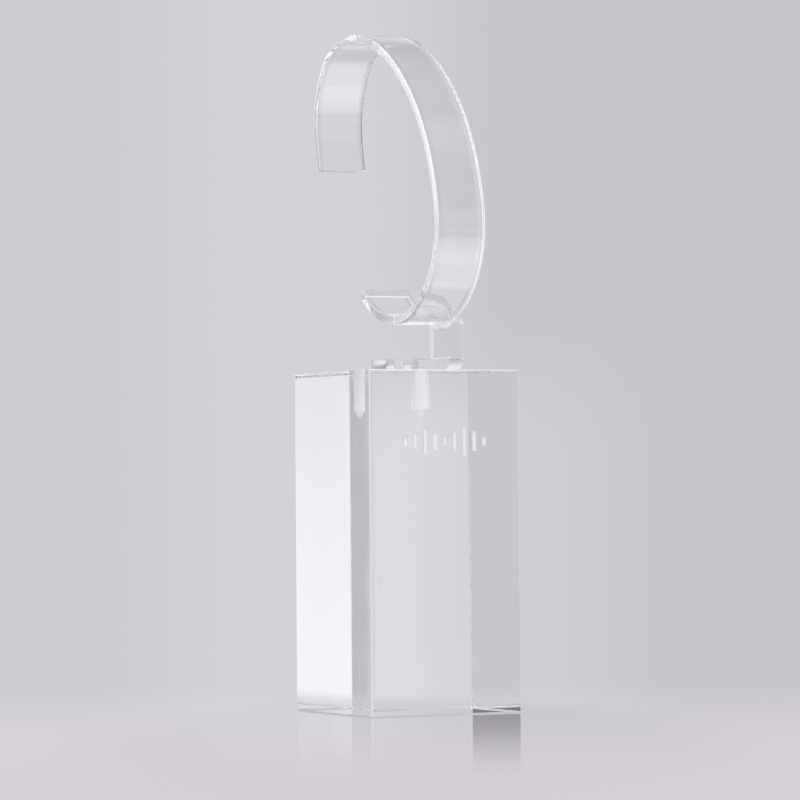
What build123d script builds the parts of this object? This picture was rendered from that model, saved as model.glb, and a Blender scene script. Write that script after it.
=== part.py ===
from build123d import *
import math
import os

# A clear acrylic display stand: a tall square block, and on it a C-shaped ring that
# carries a closed strap or band.  The ring is bonded to an L-shaped foot, and the
# foot's pin drops into a drilled socket in the block's top, so the head turns on it.
#
# Frame: origin at the centre of the block's underside, +Z up.  +X runs along the
# ring's axis, from its free edge to the post; +Y points to the side the C opens on.
# All sizes are in millimetres.

# Block
BLOCK_SIDE = 40.0
BLOCK_HEIGHT = 81.6
BLOCK_BEVEL = 0.25

# Socket drilled in the block's top, with the drill's 90 degree point at its bottom
SOCKET_DIAMETER = 4.7
SOCKET_DEPTH = 9.2

# Mark engraved in the wide front face: a row of upright, round-ended bars of uneven height
MARK_WIDTH = 22.0
MARK_HEIGHT = 8.0
MARK_CENTRE_HEIGHT = 64.7
MARK_DEPTH = 0.25
BAR_COUNT = 9
BAR_WIDTH = 1.1
SHORTEST_BAR = 0.3

# Foot: one strip bent into an L
STRIP_THICKNESS = 3.0
STRIP_WIDTH = 12.0
FOOT_REACH = 6.2
POST_FACE = 9.8
POST_HEIGHT = 12.9
POST_TOP_ROUND = 1.2
BEND_RADIUS = 3.0
BEND_INNER_RADIUS = 0.5
STRIP_EDGE = 0.2

# Pin, bonded in the foot and free in the socket
PIN_DIAMETER = 4.6
PIN_DROP = 8.8
PIN_END_ROUND = 0.9

# Ring: a strip of constant thickness whose outer line is a chain of tangent arcs
RING_THICKNESS = 2.0
RING_WIDTH = 12.7
RING_EDGE = 0.18
LIP_TIP = (17.5, 18.0)
LIP_HEADING = 220.2
RING_ARCS = [
    # outer radius, angle turned
    (29.4, 24.5),
    (23.1, 114.2),
    (56.4, 54.0),
    (34.2, 39.0),
    (13.7, 39.7),
    (25.0, 48.7),
]
RING_STRAIGHT_END = 7.0

# Adhesive bead in the corner between the ring's underside and the post
BEAD_LEG = 1.3

post_outer_face = POST_FACE + STRIP_THICKNESS
ring_near_edge = POST_FACE - RING_WIDTH


def direction(angle):
    """Unit vector in the ring's YZ plane, as (y, z)."""
    return math.cos(math.radians(angle)), math.sin(math.radians(angle))


def step(point, angle, length):
    """The point that lies a length away at an angle, in the ring's YZ plane."""
    along = direction(angle)
    return point[0] + length * along[0], point[1] + length * along[1]


def on_ring_plane(point, x=ring_near_edge):
    """A (y, z) point of the ring, z above the block's top, as a point in space."""
    return x, point[0], BLOCK_HEIGHT + point[1]


def ring_arc_centre(index):
    """Centre of one arc of the ring's outer line, and the heading where it starts."""
    point = LIP_TIP
    heading = LIP_HEADING
    for radius, turn in RING_ARCS[:index]:
        centre = step(point, heading - 90, radius)
        heading -= turn
        point = step(centre, heading + 90, radius)
    return step(point, heading - 90, RING_ARCS[index][0]), heading


def ring_line(inset):
    """The ring's outer line, or a line inset from it, as edges and its two end points.

    The lip is cut upright, so an inset line starts straight above the outer one."""
    start = step(LIP_TIP, 90, inset / math.cos(math.radians(LIP_HEADING - 180)))
    point = step(LIP_TIP, LIP_HEADING - 90, inset)
    heading = LIP_HEADING
    edges = []
    if inset > 0:
        edges.append(Line(on_ring_plane(start), on_ring_plane(point)))
    for outer_radius, turn in RING_ARCS:
        radius = outer_radius - inset
        centre = step(point, heading - 90, radius)
        middle = step(centre, heading + 90 - turn / 2, radius)
        heading -= turn
        end = step(centre, heading + 90, radius)
        edges.append(ThreePointArc(on_ring_plane(point), on_ring_plane(middle), on_ring_plane(end)))
        point = end
    end = step(point, heading, RING_STRAIGHT_END)
    edges.append(Line(on_ring_plane(point), on_ring_plane(end)))
    return edges, start, end


def make_ring():
    """The C-shaped ring, with its long edges eased."""
    outer, outer_start, outer_end = ring_line(0)
    inner, inner_start, inner_end = ring_line(RING_THICKNESS)
    lip_end = Line(on_ring_plane(inner_start), on_ring_plane(outer_start))
    upper_end = Line(on_ring_plane(outer_end), on_ring_plane(inner_end))
    outline = Wire(outer + [upper_end] + inner + [lip_end])
    ring = extrude(Face(outline), amount=RING_WIDTH, dir=(1, 0, 0))
    sides = ring.faces().filter_by(Axis.X)
    return chamfer(sides.edges(), RING_EDGE)


def make_socket():
    """The space that the drill leaves in the block's top."""
    radius = SOCKET_DIAMETER / 2
    rim_height = BLOCK_HEIGHT - SOCKET_DEPTH
    wall = Pos(0, 0, rim_height + SOCKET_DEPTH / 2) * Cylinder(radius, SOCKET_DEPTH)
    point = Pos(0, 0, rim_height - radius / 2) * Cone(0, radius, radius)
    return wall + point


def bar_height(index):
    """Height of one bar: the row swells and shrinks twice, and is taller in its second half."""
    along = index / (BAR_COUNT - 1)
    swell = math.sin(2 * math.pi * along) ** 2 * (0.55 + 0.45 * along)
    return MARK_HEIGHT * (SHORTEST_BAR + (1 - SHORTEST_BAR) * swell)


def make_mark():
    """The bars of the mark, as solids as deep as the engraving."""
    pitch = (MARK_WIDTH - BAR_WIDTH) / (BAR_COUNT - 1)
    bars = []
    for index in range(BAR_COUNT):
        x = BAR_WIDTH / 2 - MARK_WIDTH / 2 + index * pitch
        outline = Plane.XZ * Rot(0, 0, 90) * SlotOverall(bar_height(index), BAR_WIDTH)
        place = Pos(x, -BLOCK_SIDE / 2, MARK_CENTRE_HEIGHT)
        bars.append(place * extrude(outline, -MARK_DEPTH))
    return bars


def make_block():
    """The polished block, with its bevels, socket and engraved mark."""
    block = Pos(0, 0, BLOCK_HEIGHT / 2) * Box(BLOCK_SIDE, BLOCK_SIDE, BLOCK_HEIGHT)
    block = chamfer(block.edges(), BLOCK_BEVEL)
    block -= make_socket()
    for bar in make_mark():
        block -= bar
    return block


def make_foot():
    """The L-shaped foot: its plate lies on the block and its post stands at +X."""
    top = STRIP_THICKNESS
    outline = Polyline(
        (-FOOT_REACH, 0),
        (post_outer_face, 0),
        (post_outer_face, POST_HEIGHT),
        (POST_FACE, POST_HEIGHT),
        (POST_FACE, top),
        (-FOOT_REACH, top),
        close=True,
    )
    profile = make_face(outline)
    corners = profile.vertices()
    outer_bend = corners.sort_by_distance((post_outer_face, 0))[0]
    profile = fillet(outer_bend, BEND_RADIUS)
    inner_bend = profile.vertices().sort_by_distance((POST_FACE, top))[0]
    profile = fillet(inner_bend, BEND_INNER_RADIUS)
    post_top = profile.vertices().group_by(Axis.Y)[-1]
    profile = fillet(post_top, POST_TOP_ROUND)
    foot = extrude(Plane.XZ * profile, STRIP_WIDTH / 2, both=True)
    foot = Pos(0, 0, BLOCK_HEIGHT) * foot
    side_edges = foot.faces().filter_by(Axis.Y).edges()
    foot = chamfer(side_edges, STRIP_EDGE)
    return foot - pin_bore()


def pin_bore():
    """The hole through the foot's plate, which the pin fills."""
    height = BLOCK_HEIGHT + STRIP_THICKNESS / 2
    return Pos(0, 0, height) * Cylinder(PIN_DIAMETER / 2, STRIP_THICKNESS)


def make_pin():
    """The pin, flush with the plate's top and rounded at its lower end."""
    length = STRIP_THICKNESS + PIN_DROP
    pin = Cylinder(PIN_DIAMETER / 2, length)
    pin = fillet(pin.edges().sort_by(Axis.Z)[0], PIN_END_ROUND)
    return Pos(0, 0, BLOCK_HEIGHT + STRIP_THICKNESS - length / 2) * pin


def make_bead():
    """The adhesive bead, turned about the centre of the ring's lowest arc."""
    centre, _ = ring_arc_centre(1)
    radius = RING_ARCS[1][0]
    x, y, z = on_ring_plane(centre, POST_FACE)
    corner = (x, y, z - radius)
    on_post = (x, y, z - radius - BEAD_LEG)
    on_ring = (x - BEAD_LEG, y, z - radius)
    hollow = (x - BEAD_LEG * 0.38, y, z - radius - BEAD_LEG * 0.38)
    section = Wire([
        Line(corner, on_post),
        ThreePointArc(on_post, hollow, on_ring),
        Line(on_ring, corner),
    ])
    axis = Axis((x, y, z), (1, 0, 0))
    half = revolve(Face(section), axis, 45)
    other_half = revolve(Face(section), axis, -45)
    keep = Pos(POST_FACE, 0, BLOCK_HEIGHT) * Box(4 * BEAD_LEG, STRIP_WIDTH, 4 * POST_HEIGHT)
    return (half + other_half) & keep


def main():
    os.makedirs("parts", exist_ok=True)
    nodes = {
        "base_block": make_block(),
        "foot_bracket": make_foot(),
        "swivel_pin": make_pin(),
        "display_ring": make_ring(),
        "ring_bond": make_bead(),
    }
    for name, shape in nodes.items():
        export_step(shape, f"parts/{name}.step")


main()
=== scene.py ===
import math

import bmesh
import bpy
from mathutils import Matrix, Vector, noise


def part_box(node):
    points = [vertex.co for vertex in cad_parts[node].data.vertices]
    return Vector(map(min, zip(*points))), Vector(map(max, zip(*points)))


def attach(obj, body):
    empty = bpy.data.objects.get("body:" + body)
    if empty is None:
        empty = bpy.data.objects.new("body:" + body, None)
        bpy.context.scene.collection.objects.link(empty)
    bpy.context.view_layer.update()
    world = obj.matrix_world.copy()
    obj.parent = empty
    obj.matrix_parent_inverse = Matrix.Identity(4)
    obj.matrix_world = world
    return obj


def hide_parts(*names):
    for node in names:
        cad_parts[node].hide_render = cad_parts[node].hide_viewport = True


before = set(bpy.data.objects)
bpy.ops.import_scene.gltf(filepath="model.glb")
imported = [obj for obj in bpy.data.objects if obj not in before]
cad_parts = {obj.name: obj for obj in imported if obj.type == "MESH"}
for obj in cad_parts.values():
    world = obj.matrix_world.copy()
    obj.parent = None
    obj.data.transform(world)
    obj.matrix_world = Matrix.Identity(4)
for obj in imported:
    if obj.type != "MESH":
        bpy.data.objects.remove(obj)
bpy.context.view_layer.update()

# A clear acrylic display stand.  The block keeps its CAD mesh; the ring, foot, pin and
# adhesive are built here with rounded edges and with the hair-thin gaps that real
# pieces have, so that light passes each surface on its own.  All sizes are in metres.

MM = 0.001
MICRON = 0.000001
UP = (0, 0, 1)

block_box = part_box("base_block")
foot_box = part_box("foot_bracket")
ring_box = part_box("display_ring")
pin_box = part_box("swivel_pin")
block_top = block_box[1][2]
block_half = block_box[1][0]

# ---------------------------------------------------------------- camera

CAMERA_PLACE = Vector((-0.4650, -0.8941, 0.0538))
CAMERA_YAW = math.radians(27.40)
CAMERA_PITCH = math.radians(1.195)
CAMERA_ROLL = math.radians(0.477)
CAMERA_LENS = 188.46


def make_camera():
    data = bpy.data.cameras.new("camera")
    data.lens = CAMERA_LENS
    data.sensor_width = 36.0
    data.clip_start = 0.05
    data.clip_end = 20.0
    camera = bpy.data.objects.new("camera", data)
    turn = Matrix.Rotation(-CAMERA_YAW, 4, "Z")
    tilt = Matrix.Rotation(math.pi / 2 + CAMERA_PITCH, 4, "X")
    roll = Matrix.Rotation(-CAMERA_ROLL, 4, "Z")
    camera.matrix_world = Matrix.Translation(CAMERA_PLACE) @ turn @ tilt @ roll
    bpy.context.scene.collection.objects.link(camera)
    bpy.context.scene.camera = camera


# ---------------------------------------------------------------- node helpers

def new_tree(owner):
    owner.use_nodes = True
    owner.node_tree.nodes.clear()
    return owner.node_tree


def node(tree, kind, **settings):
    made = tree.nodes.new(kind)
    for key, value in settings.items():
        setattr(made, key, value)
    return made


def feed(tree, socket, value):
    """Sets a socket to a number, a tuple or another node's output."""
    if isinstance(value, (int, float)):
        socket.default_value = value
    elif isinstance(value, (tuple, Vector)):
        socket.default_value = (*value, 1) if socket.type == "RGBA" else tuple(value)
    else:
        tree.links.new(value, socket)


def maths(tree, operation, a, b=None):
    made = node(tree, "ShaderNodeMath", operation=operation)
    feed(tree, made.inputs[0], a)
    if b is not None:
        feed(tree, made.inputs[1], b)
    return made.outputs[0]


def times(tree, a, b):
    return maths(tree, "MULTIPLY", a, b)


def plus(tree, a, b):
    return maths(tree, "ADD", a, b)


def dot(tree, vector, direction):
    made = node(tree, "ShaderNodeVectorMath", operation="DOT_PRODUCT")
    feed(tree, made.inputs[0], vector)
    feed(tree, made.inputs[1], direction)
    return made.outputs["Value"]


def smooth(tree, value, low, high, to_low=0.0, to_high=1.0):
    made = node(tree, "ShaderNodeMapRange", interpolation_type="SMOOTHSTEP")
    feed(tree, made.inputs["Value"], value)
    feed(tree, made.inputs["From Min"], low)
    feed(tree, made.inputs["From Max"], high)
    feed(tree, made.inputs["To Min"], to_low)
    feed(tree, made.inputs["To Max"], to_high)
    return made.outputs["Result"]


def mix_colour(tree, factor, low, high):
    made = node(tree, "ShaderNodeMix", data_type="RGBA")
    feed(tree, made.inputs[0], factor)
    feed(tree, made.inputs[6], low)
    feed(tree, made.inputs[7], high)
    return made.outputs[2]


def mix_shaders(tree, share, first, second):
    """The second shader takes a share of 0 to 1 from the first."""
    made = node(tree, "ShaderNodeMixShader")
    feed(tree, made.inputs[0], share)
    feed(tree, made.inputs[1], first.outputs[0])
    feed(tree, made.inputs[2], second.outputs[0])
    return made


def place(tree):
    """The point on the surface, in the object's own metres."""
    return node(tree, "ShaderNodeTexCoord").outputs["Object"]


def stretched(tree, vector, scale):
    made = node(tree, "ShaderNodeVectorMath", operation="MULTIPLY")
    feed(tree, made.inputs[0], vector)
    feed(tree, made.inputs[1], scale)
    return made.outputs[0]


def grain(tree, vector, size, detail=2.0, roughness=0.5):
    """Noise from 0 to 1, whose blobs are about size metres across."""
    made = node(tree, "ShaderNodeTexNoise")
    feed(tree, made.inputs["Vector"], vector)
    made.inputs["Scale"].default_value = 1 / size
    made.inputs["Detail"].default_value = detail
    made.inputs["Roughness"].default_value = roughness
    return made.outputs["Fac"]


def bump(tree, height, depth, under=None):
    """Surface normal from a height of 0 to 1 that stands for depth metres."""
    made = node(tree, "ShaderNodeBump")
    made.inputs["Strength"].default_value = 1.0
    made.inputs["Distance"].default_value = depth
    feed(tree, made.inputs["Height"], height)
    if under is not None:
        feed(tree, made.inputs["Normal"], under)
    return made.outputs["Normal"]


# ---------------------------------------------------------------- studio

BACKDROP = (0.578, 0.562, 0.606)
CEILING = (0.92, 0.92, 0.94)
FLOOR_TONE = (0.672, 0.638, 0.680)
VIEW_AZIMUTH = 27.4

# Elevations in degrees over which the floor's tone gives way to the backdrop, and that to the ceiling
FLOOR_BLEND = (-3.6, -2.6)
CEILING_BLEND = (12, 32)

# Soft-edged patches of the surroundings: azimuth, lowest and highest elevation, half width and softness
# in degrees, then the light level that each adds; a negative level darkens
BACKDROP_GLOWS = [
    (26.0, -3.6, 9, 1.9, 1.2, 0.080),       # behind the object, to its left
    (21.5, -3.6, 9, 2.5, 1.0, 0.030),       # at the picture's left side
    (28.6, -4.0, 1.5, 1.6, 1.2, 0.050),     # low, behind the block
    (27.6, -3.0, 1.2, 0.9, 0.35, 0.040),
]
STUDIO_CARDS = [
    (152.6, -5.5, 2.2, 30, 2.5, 0.26),      # front card, which the block's narrow face shows
    (152.6, -5.5, 26, 30, 6, 0.12),
    (152.6, -6.0, -0.5, 30, 1.5, 0.05),
    (152.6, -30, -8, 24, 8, 0.22),
    (145, -90, -30, 45, 30, 1.25),          # low light in front, which the ring shows near the foot
    (150, -40, -11, 20, 4, 0.85),           # this and the next three shape the ring's highlights
    (150, -50, -24, 17, 10, 0.45),
    (150, 3.5, 17, 20, 3, 0.28),
    (150, 20, 45, 12, 3, -0.28),
    (76, 24, 66, 45, 8, -0.50),             # dark card, high on the right
    (-27.4, 2.4, 5.2, 14, 0.7, -0.40),      # dark card, which the floor below the block shows
    (27.4, -25, -5.2, 30, 1.5, 0.45),       # light below the backdrop
    (26.2, -3.6, 1.5, 0.78, 0.1, -0.19),    # narrow dark card, seen through the block's near corner
    (228, 32, 72, 32, 6, 3.6),              # softbox, high at the front left
]


def heading(azimuth):
    """Level unit vector; azimuth in degrees from +Y towards +X."""
    a = math.radians(azimuth)
    return Vector((math.sin(a), math.cos(a), 0.0))


def panel(tree, direction, azimuth, low, high, half_width, soft, level):
    """Light level added where a direction falls in a soft-edged panel.  Angles are in degrees."""
    along = dot(tree, direction, heading(azimuth))
    across = dot(tree, direction, heading(azimuth + 90))
    side = maths(tree, "ABSOLUTE", maths(tree, "ARCTAN2", across, along))
    up = maths(tree, "ARCSINE", dot(tree, direction, UP))
    s = math.radians(soft)
    half = math.radians(half_width)
    in_width = smooth(tree, side, half - s, half + s, 1.0, 0.0)
    above = smooth(tree, up, math.radians(low) - s / 2, math.radians(low) + s / 2)
    below = smooth(tree, up, math.radians(high) - s, math.radians(high) + s, 1.0, 0.0)
    return times(tree, times(tree, in_width, times(tree, above, below)), level)


def add_up(tree, direction, panels):
    """Sum of the light levels that several panels add."""
    total = 0.0
    for one in panels:
        total = plus(tree, panel(tree, direction, *one), total)
    return total


def make_world():
    """Pale surroundings; the studio cards light the object but stay out of the picture."""
    world = bpy.data.worlds.new("studio")
    bpy.context.scene.world = world
    tree = new_tree(world)
    where = node(tree, "ShaderNodeTexCoord").outputs["Generated"]
    up = maths(tree, "ARCSINE", dot(tree, where, UP))
    above_floor = smooth(tree, up, *[math.radians(part) for part in FLOOR_BLEND])
    horizon = mix_colour(tree, above_floor, FLOOR_TONE, BACKDROP)
    above_backdrop = smooth(tree, up, *[math.radians(part) for part in CEILING_BLEND])
    dome = mix_colour(tree, above_backdrop, horizon, CEILING)
    seen = node(tree, "ShaderNodeLightPath").outputs["Is Camera Ray"]
    cards = times(tree, add_up(tree, where, STUDIO_CARDS), maths(tree, "SUBTRACT", 1.0, seen))
    total = plus(tree, add_up(tree, where, BACKDROP_GLOWS), cards)
    grey = node(tree, "ShaderNodeCombineColor")
    for name in ("Red", "Green", "Blue"):
        feed(tree, grey.inputs[name], total)
    light = node(tree, "ShaderNodeMix", data_type="RGBA", blend_type="ADD")
    light.inputs[0].default_value = 1.0
    feed(tree, light.inputs[6], dome)
    feed(tree, light.inputs[7], grey.outputs[0])
    background = node(tree, "ShaderNodeBackground")
    feed(tree, background.inputs["Color"], light.outputs[2])
    output = node(tree, "ShaderNodeOutputWorld")
    feed(tree, output.inputs[0], background.outputs[0])


def flat_sheet(name, half_size, height):
    """A level square that is staging, not part of the object."""
    data = bpy.data.meshes.new(name)
    signs = [(-1, -1), (1, -1), (1, 1), (-1, 1)]
    data.from_pydata([(half_size * i, half_size * j, height) for i, j in signs], [], [(0, 1, 2, 3)])
    sheet = bpy.data.objects.new(name, data)
    bpy.context.scene.collection.objects.link(sheet)
    return sheet


FLOOR_GAP = 0.03 * MM
FLOOR_HALF_SIZE = 0.5
FLOOR_MATT = (0.09, 0.087, 0.092)
FLOOR_LIGHT = 0.82
FLOOR_GLOSS = 0.04
FLOOR_IOR = 1.4

# The floor is solid in an oval that lies along the view, and fades out towards the oval's rim
OVAL_CENTRE = -0.13
OVAL_HALF_LENGTH = 0.26
OVAL_HALF_WIDTH = 0.085
FADE_FROM = 0.55

# Its gloss lies in front of the object: distances along the view, from where it starts to where it stops
GLOSS_START = (-0.25, -0.02)
GLOSS_STOP = (0.02, 0.03)


def oval_distance(tree, where):
    """Distance from the middle of the floor's oval, 1 at its rim."""
    shift = node(tree, "ShaderNodeVectorMath", operation="SUBTRACT")
    feed(tree, shift.inputs[0], where)
    feed(tree, shift.inputs[1], heading(VIEW_AZIMUTH) * OVAL_CENTRE)
    along = dot(tree, shift.outputs[0], heading(VIEW_AZIMUTH))
    across = dot(tree, shift.outputs[0], heading(VIEW_AZIMUTH + 90))
    squares = []
    for distance, half in ((along, OVAL_HALF_LENGTH), (across, OVAL_HALF_WIDTH)):
        share = maths(tree, "DIVIDE", distance, half)
        squares.append(times(tree, share, share))
    return maths(tree, "SQRT", plus(tree, *squares))


def make_floor():
    """A pale floor, a little glossy in front of the object, that fades into the surroundings."""
    floor = flat_sheet("floor", FLOOR_HALF_SIZE, -FLOOR_GAP)
    material = bpy.data.materials.new("pale_floor")
    tree = new_tree(material)
    where = place(tree)
    fade = smooth(tree, oval_distance(tree, where), FADE_FROM, 1.0)
    matt = node(tree, "ShaderNodeBsdfDiffuse")
    feed(tree, matt.inputs["Color"], FLOOR_MATT)
    glow = node(tree, "ShaderNodeEmission")
    feed(tree, glow.inputs["Color"], FLOOR_TONE)
    glow.inputs["Strength"].default_value = FLOOR_LIGHT
    body = node(tree, "ShaderNodeAddShader")
    feed(tree, body.inputs[0], matt.outputs[0])
    feed(tree, body.inputs[1], glow.outputs[0])
    gloss = node(tree, "ShaderNodeBsdfGlossy")
    feed(tree, gloss.inputs["Color"], (1.0, 1.0, 1.0))
    gloss.inputs["Roughness"].default_value = FLOOR_GLOSS
    depth = dot(tree, where, heading(VIEW_AZIMUTH))
    in_front = times(tree, smooth(tree, depth, *GLOSS_START), smooth(tree, depth, *GLOSS_STOP, 1.0, 0.0))
    mirror = node(tree, "ShaderNodeFresnel")
    mirror.inputs["IOR"].default_value = FLOOR_IOR
    shiny = mix_shaders(tree, times(tree, mirror.outputs[0], in_front), body, gloss)
    clear = node(tree, "ShaderNodeBsdfTransparent")
    output = node(tree, "ShaderNodeOutputMaterial")
    feed(tree, output.inputs["Surface"], mix_shaders(tree, fade, shiny, clear).outputs[0])
    floor.data.materials.append(material)


# ---------------------------------------------------------------- materials

ACRYLIC_IOR = 1.49
SHEET_TINT = (0.965, 0.965, 0.972)
ROD_TINT = (0.96, 0.96, 0.96)

SMUDGE_SIZE = 9 * MM
SMUDGE_ROUGHNESS = 0.018
SCRATCH_SIZE = 1.2 * MM
SCRATCH_STRETCH = 0.06
SCRATCH_ROUGHNESS = 0.05
SCRATCH_DEPTH = 0.4 * MICRON
EDGE_MARK_SIZE = 1.2 * MM
CELLS_PER_METRE = 1400


def glass_material(name, colour, roughness, normal, transmission=1.0, glow=0.0, painted_glow_colour=None):
    """Acrylic; glow is painted light, an emission that stands for light that is caught inside it and leaves
    at a rough surface.
    """
    material = bpy.data.materials.new(name)
    tree = new_tree(material)
    surface = node(tree, "ShaderNodeBsdfPrincipled")
    feed(tree, surface.inputs["Base Color"], colour(tree))
    feed(tree, surface.inputs["Roughness"], roughness(tree))
    feed(tree, surface.inputs["Normal"], normal(tree))
    clear = transmission(tree) if callable(transmission) else transmission
    feed(tree, surface.inputs["Transmission Weight"], clear)
    surface.inputs["IOR"].default_value = ACRYLIC_IOR
    surface.inputs["Emission Strength"].default_value = glow
    if painted_glow_colour is not None:
        feed(tree, surface.inputs["Emission Color"], painted_glow_colour(tree))
    output = node(tree, "ShaderNodeOutputMaterial")
    feed(tree, output.inputs["Surface"], surface.outputs[0])
    return material


def halfway_to_white(tint):
    return tuple(0.5 + 0.5 * part for part in tint)


def smudges(tree):
    """Roughness of a few wiped smudges."""
    blotches = grain(tree, place(tree), SMUDGE_SIZE, detail=3.0)
    return smooth(tree, blotches, 0.60, 0.80, 0.0, SMUDGE_ROUGHNESS)


def scratches(tree):
    """1 along a few fine hairline scratches, 0 elsewhere."""
    lines = grain(tree, stretched(tree, place(tree), (1.0, 1.0, SCRATCH_STRETCH)), SCRATCH_SIZE, detail=1.0)
    return smooth(tree, lines, 0.70, 0.74)


def polished(name, wave_size, wave_depth, tint=SHEET_TINT):
    """Clear polished acrylic: faint unevenness, hairline scratches, and a few wiped smudges."""
    def colour(tree):
        return mix_colour(tree, grain(tree, place(tree), 12 * MM), tint, halfway_to_white(tint))

    def roughness(tree):
        return plus(tree, smudges(tree), times(tree, scratches(tree), SCRATCH_ROUGHNESS))

    def normal(tree):
        waves = bump(tree, grain(tree, place(tree), wave_size, detail=1.0), wave_depth)
        return bump(tree, scratches(tree), -SCRATCH_DEPTH, waves)

    return glass_material(name, colour, roughness, normal)


def edge_colour(tree):
    """A cut edge is almost clear, and a little uneven."""
    return mix_colour(tree, grain(tree, place(tree), 2 * MM), (0.98, 0.98, 0.985), (1.0, 1.0, 1.0))


def edge_marks(tree, low, high):
    """Roughness of a cut edge, in blotches from low to high."""
    return smooth(tree, grain(tree, place(tree), 3 * MM, detail=3.0), 0.3, 0.7, low, high)


def edge_relief(tree, depth):
    """Normal of a cut edge, with the fine marks that are left along the cut."""
    return bump(tree, grain(tree, place(tree), EDGE_MARK_SIZE, detail=2.0), depth)


def on_back(tree, near, far):
    """1 on the ring's back, where Y is small, and 0 at its lip and its free end."""
    return smooth(tree, dot(tree, place(tree), (0, 1, 0)), near, far, 1.0, 0.0)


def above_block(tree, low, high):
    """0 below a height over the block's top, and 1 above another."""
    return smooth(tree, dot(tree, place(tree), UP), block_top + low, block_top + high)


def cut_edge(name, rough, transmission):
    """The cut edge of a sheet, polished after sawing."""
    def roughness(tree):
        return edge_marks(tree, *rough)

    def normal(tree):
        return edge_relief(tree, 1.5 * MICRON)

    return glass_material(name, edge_colour, roughness, normal, transmission)


def ring_far_edge(name):
    """The ring's far cut edge: along the ring's back it is rougher and less clear and has a painted glow,
    and it is clear at both ends.
    """
    def back_with_painted_glow(tree):
        return on_back(tree, 1 * MM, 15 * MM)

    def roughness(tree):
        return times(tree, edge_marks(tree, 0.12, 0.25), back_with_painted_glow(tree))

    def normal(tree):
        return edge_relief(tree, 1.5 * MICRON)

    def transmission(tree):
        return maths(tree, "SUBTRACT", 0.90, times(tree, back_with_painted_glow(tree), 0.45))

    # painted glow: white emission along the ring's back, none at the ring's ends
    def painted_glow_colour(tree):
        return mix_colour(tree, back_with_painted_glow(tree), (0.0, 0.0, 0.0), (1.0, 1.0, 1.0))

    return glass_material(name, edge_colour, roughness, normal, transmission, 0.24, painted_glow_colour)


def ring_near_edge(name):
    """The ring's near cut edge: clear at the lip, buffed above it, and whitish high on the ring's back."""
    def buffed(tree):
        return above_block(tree, 14 * MM, 34 * MM)

    def sawn(tree):
        return times(tree, on_back(tree, 2 * MM, 14 * MM), above_block(tree, 28 * MM, 46 * MM))

    def roughness(tree):
        marks = times(tree, edge_marks(tree, 0.03, 0.09), buffed(tree))
        return plus(tree, times(tree, sawn(tree), 0.14), marks)

    def normal(tree):
        return edge_relief(tree, 1.0 * MICRON)

    def transmission(tree):
        lost = plus(tree, times(tree, buffed(tree), 0.25), times(tree, sawn(tree), 0.42))
        return maths(tree, "SUBTRACT", 0.95, lost)

    return glass_material(name, edge_colour, roughness, normal, transmission)


def frosted(name, colours, rough, depth, transmission, ring_pitch=None, glow=0.0):
    """A rough surface that scatters light: drilled, engraved, or the block's greyer bottom edges."""
    def colour(tree):
        return mix_colour(tree, grain(tree, place(tree), 1 * MM), *colours)

    def roughness(tree):
        return smooth(tree, grain(tree, place(tree), 0.8 * MM, detail=3.0), 0.3, 0.7, *rough)

    def normal(tree):
        fine = bump(tree, grain(tree, place(tree), 0.25 * MM, detail=3.0), depth)
        if ring_pitch is None:
            return fine
        turns = dot(tree, place(tree), (0, 0, 2 * math.pi / ring_pitch))
        return bump(tree, maths(tree, "SINE", turns), depth, fine)

    return glass_material(name, colour, roughness, normal, transmission, glow)


def adhesive(name):
    """Cured adhesive: clear, lumpy and a little milky, with a faint painted glow."""
    def colour(tree):
        return mix_colour(tree, grain(tree, place(tree), 1.5 * MM), (0.99, 0.985, 0.98), (1.0, 1.0, 1.0))

    def roughness(tree):
        return smooth(tree, grain(tree, place(tree), 1 * MM, detail=3.0), 0.35, 0.7, 0.04, 0.35)

    def normal(tree):
        cells = node(tree, "ShaderNodeTexVoronoi")
        feed(tree, cells.inputs["Vector"], place(tree))
        cells.inputs["Scale"].default_value = CELLS_PER_METRE
        lumps = bump(tree, grain(tree, place(tree), 1.2 * MM, detail=3.0), 30 * MICRON)
        return bump(tree, smooth(tree, cells.outputs["Distance"], 0.1, 0.3), 4 * MICRON, lumps)

    # glow=0.15 is a painted glow: the adhesive gives off light though it is no lamp
    return glass_material(name, colour, roughness, normal, transmission=0.5, glow=0.15)


# The smear of adhesive on the ring: where it starts along Y at the near edge, how much further at the
# far edge, how uneven that line is, how wide its raised rim is, and how high it reaches
SMEAR_START = -15 * MM
SMEAR_TURN = 9 * MM
SMEAR_WOBBLE = 1.6 * MM
SMEAR_ONSET = 0.3 * MM
SMEAR_RIM = 0.9 * MM
SMEAR_TOP = (22 * MM, 24 * MM)
SMEAR_FADE = (-10 * MM, 4 * MM)


def smear(tree):
    """Film of adhesive that ran along the ring from the post, and the film's raised rim."""
    where = place(tree)
    from_near_edge = maths(tree, "SUBTRACT", dot(tree, where, (1, 0, 0)), ring_box[0][0])
    across = maths(tree, "DIVIDE", from_near_edge, ring_box[1][0] - ring_box[0][0])
    reach = times(tree, maths(tree, "POWER", maths(tree, "MAXIMUM", across, 0.0), 3.0), SMEAR_TURN)
    wobble = times(tree, grain(tree, where, 3 * MM, detail=3.0), SMEAR_WOBBLE)
    beyond = maths(tree, "SUBTRACT", dot(tree, where, (0, 1, 0)), plus(tree, reach, wobble))
    low = smooth(tree, dot(tree, where, UP), block_top + SMEAR_TOP[0], block_top + SMEAR_TOP[1], 1.0, 0.0)
    inside = smooth(tree, beyond, SMEAR_START, SMEAR_START + SMEAR_ONSET)
    leaving = smooth(tree, beyond, SMEAR_START + SMEAR_RIM, SMEAR_START + 2 * SMEAR_RIM, 1.0, 0.0)
    thinning = smooth(tree, beyond, *SMEAR_FADE, 1.0, 0.0)
    film = times(tree, low, times(tree, inside, thinning))
    rim = times(tree, low, times(tree, inside, leaving))
    return film, rim


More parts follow.
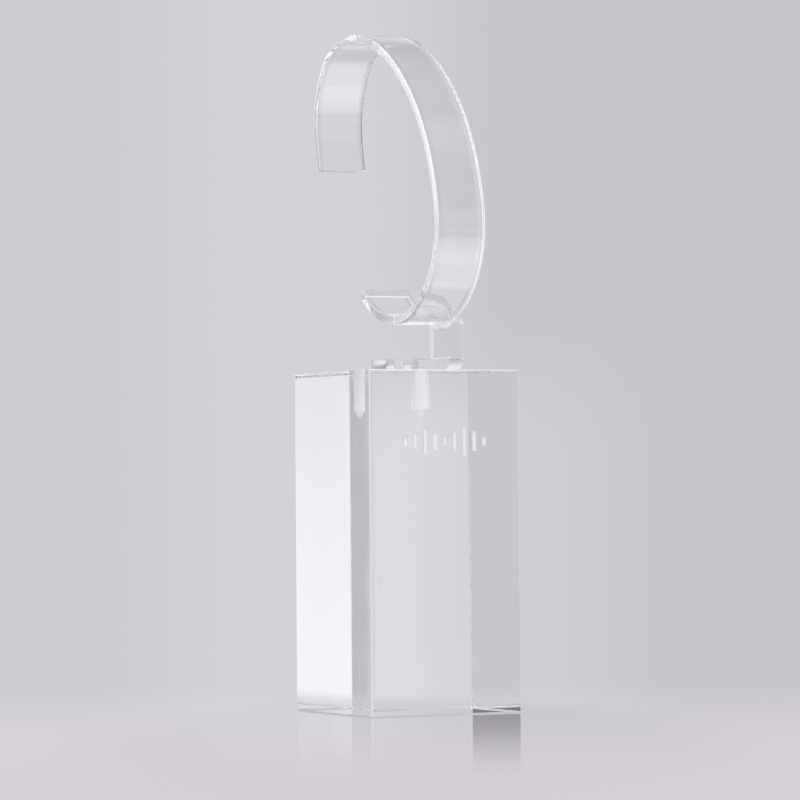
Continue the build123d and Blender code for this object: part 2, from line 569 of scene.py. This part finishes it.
def ring_acrylic(name):
    """The ring's polished faces, with the smear of adhesive beside the post."""
    def colour(tree):
        return mix_colour(tree, grain(tree, place(tree), 12 * MM), SHEET_TINT, (0.985, 0.985, 0.988))

    def roughness(tree):
        film, rim = smear(tree)
        haze = plus(tree, times(tree, film, 0.10), times(tree, rim, 0.25))
        return plus(tree, smudges(tree), haze)

    def normal(tree):
        film, rim = smear(tree)
        waves = bump(tree, grain(tree, place(tree), 14 * MM, detail=1.0), 12 * MICRON)
        runs = times(tree, film, grain(tree, place(tree), 1.5 * MM, detail=2.0))
        return bump(tree, plus(tree, runs, rim), 30 * MICRON, waves)

    def transmission(tree):
        film, rim = smear(tree)
        milk = times(tree, film, grain(tree, place(tree), 2 * MM, detail=2.0))
        lost = plus(tree, times(tree, milk, 0.35), times(tree, rim, 0.45))
        return maths(tree, "SUBTRACT", 1.0, lost)

    return glass_material(name, colour, roughness, normal, transmission)


# ---------------------------------------------------------------- mesh helpers

CORNER_STEPS = 3
AROUND_STEPS = 72


def make_piece(name, mesh_maker, materials, body, node_name):
    """Builds one piece, hangs it on what it rides on, hides the CAD part that it stands for, and gives it
    its finishes.
    """
    shape = bmesh.new()
    mesh_maker(shape)
    for face in shape.faces:
        face.smooth = True
    data = bpy.data.meshes.new(name)
    shape.to_mesh(data)
    shape.free()
    piece = bpy.data.objects.new(name, data)
    bpy.context.scene.collection.objects.link(piece)
    for material in materials:
        data.materials.append(material)
    even = piece.modifiers.new("even_shading", "WEIGHTED_NORMAL")
    even.mode = "FACE_AREA"
    even.weight = 100
    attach(piece, body)
    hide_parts(node_name)
    return piece


def arc_points(centre, radius, start, end, steps):
    """Points on an arc, with both ends; angles in degrees."""
    points = []
    for i in range(steps + 1):
        a = math.radians(start + (end - start) * i / steps)
        points.append((centre[0] + radius * math.cos(a), centre[1] + radius * math.sin(a)))
    return points


def join_loops(shape, loops, slots=None):
    """Quads between neighbouring closed loops of vertices; slots gives each column's material."""
    for lower, upper in zip(loops, loops[1:]):
        count = len(lower)
        for j in range(count):
            k = (j + 1) % count
            face = shape.faces.new((lower[j], lower[k], upper[k], upper[j]))
            if slots is not None:
                face.material_index = slots[j]


# ---------------------------------------------------------------- ring

RING_THICKNESS = 2.0 * MM
RING_EDGE = 0.22 * MM
RING_STEP = 0.25 * MM
LIP_TIP = Vector((17.5, 18.0)) * MM
LIP_HEADING = 220.2
RING_ARCS = [
    # outer radius in millimetres, angle turned
    (29.4, 24.5),
    (23.1, 114.2),
    (56.4, 54.0),
    (34.2, 39.0),
    (13.7, 39.7),
    (25.0, 48.7),
]
RING_STRAIGHT_END = 7.0 * MM
MITRE_FADE = 8.0 * MM
ACROSS_STEPS = 10
UPRIGHT_STEPS = 2
LEAST_ROUND = 0.02 * MM

# Material slots of the ring
RING_FACE, RING_NEAR_EDGE, RING_END, RING_FAR_EDGE = range(4)


def flat_direction(angle):
    return Vector((math.cos(math.radians(angle)), math.sin(math.radians(angle))))


def ring_place(run):
    """Point (y, z above the block) and heading of the ring's outer line, at a distance from the lip."""
    point = LIP_TIP.copy()
    turned = LIP_HEADING
    for radius_mm, turn in RING_ARCS:
        radius = radius_mm * MM
        length = radius * math.radians(turn)
        centre = point + radius * flat_direction(turned - 90)
        if run <= length:
            now = turned - turn * run / length
            return centre + radius * flat_direction(now + 90), now
        run -= length
        turned -= turn
        point = centre + radius * flat_direction(turned + 90)
    return point + run * flat_direction(turned), turned


def strip_section(width, thickness, edge, inset):
    """Round-cornered section of a strip as (across, depth) points, and the slot of the faces after each."""
    radius = max(edge - inset, LEAST_ROUND)
    low = inset + radius
    corners = [(width - low, low), (width - low, thickness - low), (low, thickness - low), (low, low)]
    arcs = []
    for i, centre in enumerate(corners):
        arcs.append(arc_points(centre, radius, 90 * i - 90, 90 * i, CORNER_STEPS))
    points = []
    slots = []
    for index, arc in enumerate(arcs):
        upright = index % 2 == 0
        steps = UPRIGHT_STEPS if upright else ACROSS_STEPS
        first = Vector(arc[-1])
        last = Vector(arcs[(index + 1) % 4][0])
        points += arc
        points += [tuple(first.lerp(last, i / steps)) for i in range(1, steps)]
        edge_slot = RING_FAR_EDGE if index < 2 else RING_NEAR_EDGE
        slots += [edge_slot] * CORNER_STEPS + [edge_slot if upright else RING_FACE] * steps
    return points, slots


def ring_rows():
    """Distances along the ring and how far each section is inset: the two ends are eased."""
    length = sum(radius * MM * math.radians(turn) for radius, turn in RING_ARCS) + RING_STRAIGHT_END
    easing = []
    for i in range(CORNER_STEPS):
        a = math.radians(90 * i / CORNER_STEPS)
        easing.append((RING_EDGE * (1 - math.cos(a)), RING_EDGE * (1 - math.sin(a))))
    inner = length - 2 * RING_EDGE
    steps = round(inner / RING_STEP)
    middle = [(RING_EDGE + inner * i / steps, 0.0) for i in range(steps + 1)]
    return easing + middle + [(length - run, inset) for run, inset in reversed(easing)]


def shape_ring(shape):
    """The bent strip, swept along its line; the lip is cut upright."""
    width = ring_box[1][0] - ring_box[0][0]
    mitre = math.tan(math.radians(LIP_HEADING - 180))
    loops = []
    for run, inset in ring_rows():
        point, turned = ring_place(run)
        lean = mitre * max(0.0, 1 - run / MITRE_FADE)
        points, slots = strip_section(width, RING_THICKNESS, RING_EDGE, inset)
        loop = []
        for across, depth in points:
            flat = point + depth * flat_direction(turned - 90) - lean * depth * flat_direction(turned)
            loop.append(shape.verts.new((ring_box[0][0] + across, flat.x, block_top + flat.y)))
        loops.append(loop)
    join_loops(shape, loops, slots)
    for end in (loops[0], loops[-1]):
        shape.faces.new(end).material_index = RING_END
    bmesh.ops.recalc_face_normals(shape, faces=shape.faces)


# ---------------------------------------------------------------- foot

BOND_GAP = 0.03 * MM
STRIP_THICKNESS = 3.0 * MM
BEND_RADIUS = 3.0 * MM
BEND_INNER_RADIUS = 0.5 * MM
POST_TOP_ROUND = 1.2 * MM
FOOT_EDGE = 0.22 * MM
BEND_STEPS = 12
BEND_INNER_STEPS = 5
POST_TOP_STEPS = 8
BORE_OVERSHOOT = 1 * MM

# Material slots of the foot, and how far a cut face's normal turns along X or Y at least
FOOT_FACE, FOOT_CUT = range(2)
TURNED = 0.2


def foot_outline():
    """The L of the foot in the XZ plane: plate, outer bend, post, inner bend."""
    left, right = foot_box[0][0], foot_box[1][0]
    bottom, top = foot_box[0][2] + BOND_GAP, foot_box[1][2]
    plate_top = foot_box[0][2] + STRIP_THICKNESS
    post_face = right - STRIP_THICKNESS + BOND_GAP
    outline = [(left, bottom)]
    outer_bend = (right - BEND_RADIUS, bottom + BEND_RADIUS)
    outline += arc_points(outer_bend, BEND_RADIUS, -90, 0, BEND_STEPS)
    outer_top = (right - POST_TOP_ROUND, top - POST_TOP_ROUND)
    outline += arc_points(outer_top, POST_TOP_ROUND, 0, 90, POST_TOP_STEPS)
    inner_top = (post_face + POST_TOP_ROUND, top - POST_TOP_ROUND)
    outline += arc_points(inner_top, POST_TOP_ROUND, 90, 180, POST_TOP_STEPS)
    inner_bend = (post_face - BEND_INNER_RADIUS, plate_top + BEND_INNER_RADIUS)
    outline += arc_points(inner_bend, BEND_INNER_RADIUS, 0, -90, BEND_INNER_STEPS)
    outline.append((left, plate_top))
    return outline


def shape_foot(shape):
    """The bent strip of the foot, with its cut edges eased."""
    outline = foot_outline()
    sides = []
    for y in (foot_box[0][1], foot_box[1][1]):
        sides.append([shape.verts.new((x, y, z)) for x, z in outline])
    caps = [shape.faces.new(side) for side in sides]
    join_loops(shape, sides)
    left = foot_box[0][0]
    ends = [edge for edge in shape.edges if all(abs(v.co.x - left) < 1e-7 for v in edge.verts)]
    eased = set(ends) | set(caps[0].edges) | set(caps[1].edges)
    bmesh.ops.bevel(shape, geom=list(eased), offset=FOOT_EDGE, segments=CORNER_STEPS, profile=0.5,
                    affect="EDGES")
    bmesh.ops.recalc_face_normals(shape, faces=shape.faces)
    shape.normal_update()
    for face in shape.faces:
        at_end = face.calc_center_median().x < left + FOOT_EDGE and face.normal.x < -TURNED
        face.material_index = FOOT_CUT if at_end or abs(face.normal.y) > TURNED else FOOT_FACE


def bore(piece, radius, low, high, slot):
    """Drills a round hole along Z through a piece; its wall takes a material slot."""
    shape = bmesh.new()
    middle = Matrix.Translation((0, 0, (low + high) / 2))
    bmesh.ops.create_cone(shape, cap_ends=True, segments=AROUND_STEPS, radius1=radius, radius2=radius,
                          depth=high - low, matrix=middle)
    for face in shape.faces:
        face.material_index = slot
        face.smooth = True
    data = bpy.data.meshes.new("drill")
    shape.to_mesh(data)
    shape.free()
    drill = bpy.data.objects.new("drill", data)
    bpy.context.scene.collection.objects.link(drill)
    cut = piece.modifiers.new("bore", "BOOLEAN")
    cut.operation = "DIFFERENCE"
    cut.solver = "EXACT"
    cut.object = drill
    piece.modifiers.move(len(piece.modifiers) - 1, 0)
    drilled = bpy.data.meshes.new_from_object(piece.evaluated_get(bpy.context.evaluated_depsgraph_get()))
    piece.modifiers.remove(cut)
    piece.data = drilled
    bpy.data.objects.remove(drill)


# ---------------------------------------------------------------- pin

PIN_END_ROUND = 0.9 * MM
PIN_TOP_EASE = 0.12 * MM
PIN_END_STEPS = 8
PIN_SIDE_STEPS = 12
PIN_EASE_STEPS = 4


def shape_pin(shape):
    """The pin, turned about Z: rounded lower end, straight side, eased flat top."""
    radius = pin_box[1][0] - BOND_GAP
    bottom, top = pin_box[0][2], pin_box[1][2] - BOND_GAP
    lower = (radius - PIN_END_ROUND, bottom + PIN_END_ROUND)
    profile = arc_points(lower, PIN_END_ROUND, -90, 0, PIN_END_STEPS)
    straight = top - PIN_TOP_EASE - bottom - PIN_END_ROUND
    for i in range(1, PIN_SIDE_STEPS):
        profile.append((radius, bottom + PIN_END_ROUND + straight * i / PIN_SIDE_STEPS))
    upper = (radius - PIN_TOP_EASE, top - PIN_TOP_EASE)
    profile += arc_points(upper, PIN_TOP_EASE, 0, 90, PIN_EASE_STEPS)
    loops = []
    for r, z in profile:
        turns = [2 * math.pi * i / AROUND_STEPS for i in range(AROUND_STEPS)]
        loops.append([shape.verts.new((r * math.cos(a), r * math.sin(a), z)) for a in turns])
    join_loops(shape, loops)
    for end in (loops[0], loops[-1]):
        shape.faces.new(end)
    bmesh.ops.recalc_face_normals(shape, faces=shape.faces)


# ---------------------------------------------------------------- adhesive

BEAD_LEG = 1.3 * MM
BEAD_GAP = 0.015 * MM
BEAD_STEPS = 60
BEAD_CURVE_STEPS = 8
BEAD_END_GAP = 0.1 * MM
BEAD_TAPER = 0.9 * MM
BUBBLE_COUNT = 16
BUBBLE_DEPTH = 0.24 * MM
NOISE_SPREAD = 1.6


def lump(along, seed, size):
    """Smooth unevenness of about plus or minus one."""
    return noise.noise(Vector((along / size, seed, 0.37 * seed))) * NOISE_SPREAD


def bead_point(y, x, drop):
    """A point of the bead: drop is its distance below the ring's outer face."""
    start = RING_ARCS[0][0] * MM * math.radians(RING_ARCS[0][1])
    point, turned = ring_place(start)
    radius = RING_ARCS[1][0] * MM
    centre = point + radius * flat_direction(turned - 90)
    swing = math.asin((y - centre.x) / radius)
    reach = radius + drop
    return Vector((x, centre.x + reach * math.sin(swing), block_top + centre.y - reach * math.cos(swing)))


def bead_section(y, scale):
    """Section of the bead: a hollow fillet between the ring and the post, with uneven legs."""
    post_face = ring_box[1][0] - BEAD_GAP
    down = BEAD_LEG * scale * (0.86 + 0.14 * lump(y, 3.1, 0.0016))
    out = BEAD_LEG * scale * (0.80 + 0.20 * lump(y, 8.4, 0.0021))
    points = [bead_point(y, post_face, BEAD_GAP), bead_point(y, post_face, BEAD_GAP + down)]
    for i in range(1, BEAD_CURVE_STEPS):
        a = math.radians(90 * i / BEAD_CURVE_STEPS)
        swell = 1 + 0.12 * noise.noise(Vector((y / 0.0011, 5 * a, 2.0)))
        fall = down * (1 - math.sin(a)) * swell
        away = out * (1 - math.cos(a)) * swell
        points.append(bead_point(y, post_face - away, BEAD_GAP + fall))
    points.append(bead_point(y, post_face - out, BEAD_GAP))
    return points


def shape_bead(shape):
    """The adhesive bead across the post, with thinning ends and a few trapped bubbles."""
    half = foot_box[1][1] - BEAD_END_GAP
    loops = []
    for i in range(BEAD_STEPS + 1):
        y = half * (2 * i / BEAD_STEPS - 1)
        edge = (half - abs(y)) / BEAD_TAPER
        scale = 0.25 + 0.75 * math.sqrt(min(1.0, max(0.0, edge)))
        loops.append([shape.verts.new(point) for point in bead_section(y, scale)])
    join_loops(shape, loops)
    for end in (loops[0], loops[-1]):
        shape.faces.new(end)
    bmesh.ops.recalc_face_normals(shape, faces=shape.faces)
    for i in range(BUBBLE_COUNT):
        y = half * 0.86 * math.sin(2.4 * i + 0.6)
        size = (0.07 + 0.05 * math.sin(1.7 * i) ** 2) * MM
        centre = bead_point(y, ring_box[1][0] - BUBBLE_DEPTH, BUBBLE_DEPTH)
        made = bmesh.ops.create_uvsphere(shape, u_segments=14, v_segments=8, radius=size,
                                         matrix=Matrix.Translation(centre))
        faces = {face for vertex in made["verts"] for face in vertex.link_faces}
        bmesh.ops.reverse_faces(shape, faces=list(faces))


# ---------------------------------------------------------------- block

SOCKET_RADIUS = 2.35 * MM
SOCKET_REACH = 15.0 * MM
TOOL_PITCH = 0.25 * MM
MARK_HEIGHT = 64.7 * MM
MARK_SIZE = (12.0 * MM, 5.0 * MM)
MARK_DEPTHS = (0.01 * MM, 1.0 * MM)
LOW_BEVEL_HEIGHT = 1.0 * MM
SQUARE_ON = 0.95

# Material slots of the block
POLISHED, EASED, DRILLED, ENGRAVED, LOW_BEVEL = range(5)


def finish_block(block, materials):
    """Gives each face of the block its finish; the slanted faces at the bottom get a greyer frosted finish.
    """
    block.data.materials.clear()
    for material in materials:
        block.data.materials.append(material)
    for face in block.data.polygons:
        x, y, z = face.center
        in_socket = math.hypot(x, y) < SOCKET_RADIUS and z > block_top - SOCKET_REACH
        behind_front = MARK_DEPTHS[0] - block_half < y < MARK_DEPTHS[1] - block_half
        in_mark = abs(x) < MARK_SIZE[0] and abs(z - MARK_HEIGHT) < MARK_SIZE[1] and behind_front
        slanted = max(abs(part) for part in face.normal) < SQUARE_ON
        if in_socket:
            face.material_index = DRILLED
        elif in_mark:
            face.material_index = ENGRAVED
        elif slanted:
            face.material_index = EASED if z > LOW_BEVEL_HEIGHT else LOW_BEVEL
        else:
            face.material_index = POLISHED


# ---------------------------------------------------------------- the scene

make_camera()
make_world()
make_floor()
scene = bpy.context.scene
scene.view_settings.view_transform = "Standard"
scene.cycles.max_bounces = 24
scene.cycles.transmission_bounces = 24
scene.cycles.glossy_bounces = 12
scene.cycles.transparent_max_bounces = 16

# Each list of finishes is in the order of its piece's material slots
block_finishes = [
    polished("cast_block", 20 * MM, 10 * MICRON),
    cut_edge("eased_edge", (0.02, 0.08), 0.60),
    # the drilled wall has a faint painted glow, an emission though it is no lamp
    frosted("drilled_wall", ((0.95, 0.95, 0.95), (1.0, 1.0, 1.0)), (0.30, 0.45), 2 * MICRON, 0.40,
            TOOL_PITCH, glow=0.20),
    frosted("engraved_mark", ((0.82, 0.82, 0.83), (0.92, 0.92, 0.93)), (0.45, 0.65), 10 * MICRON, 0.35),
    # the block's bottom edges are frosted and greyer than its other edges
    frosted("grey_low_bevel", ((0.76, 0.75, 0.77), (0.84, 0.83, 0.85)), (0.30, 0.50), 2 * MICRON, 0.25),
]
ring_finishes = [
    ring_acrylic("bent_sheet"),
    ring_near_edge("ring_edge"),
    cut_edge("ring_end", (0.10, 0.20), 0.65),
    ring_far_edge("ring_far_edge"),
]
foot_finishes = [
    polished("foot_sheet", 10 * MM, 8 * MICRON),
    cut_edge("foot_edge", (0.0, 0.04), 0.93),
]
pin_finish = polished("pin_rod", 4 * MM, 3 * MICRON, ROD_TINT)
bead_finish = adhesive("cured_adhesive")

finish_block(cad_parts["base_block"], block_finishes)
make_piece("ring_strip", shape_ring, ring_finishes, "head", "display_ring")
foot = make_piece("foot_strip", shape_foot, foot_finishes, "head", "foot_bracket")
bore_bottom = foot_box[0][2] - BORE_OVERSHOOT
bore_top = foot_box[0][2] + STRIP_THICKNESS + BORE_OVERSHOOT
bore(foot, pin_box[1][0], bore_bottom, bore_top, FOOT_CUT)
make_piece("pin_rod", shape_pin, [pin_finish], "head", "swivel_pin")
make_piece("bond_bead", shape_bead, [bead_finish], "head", "ring_bond")
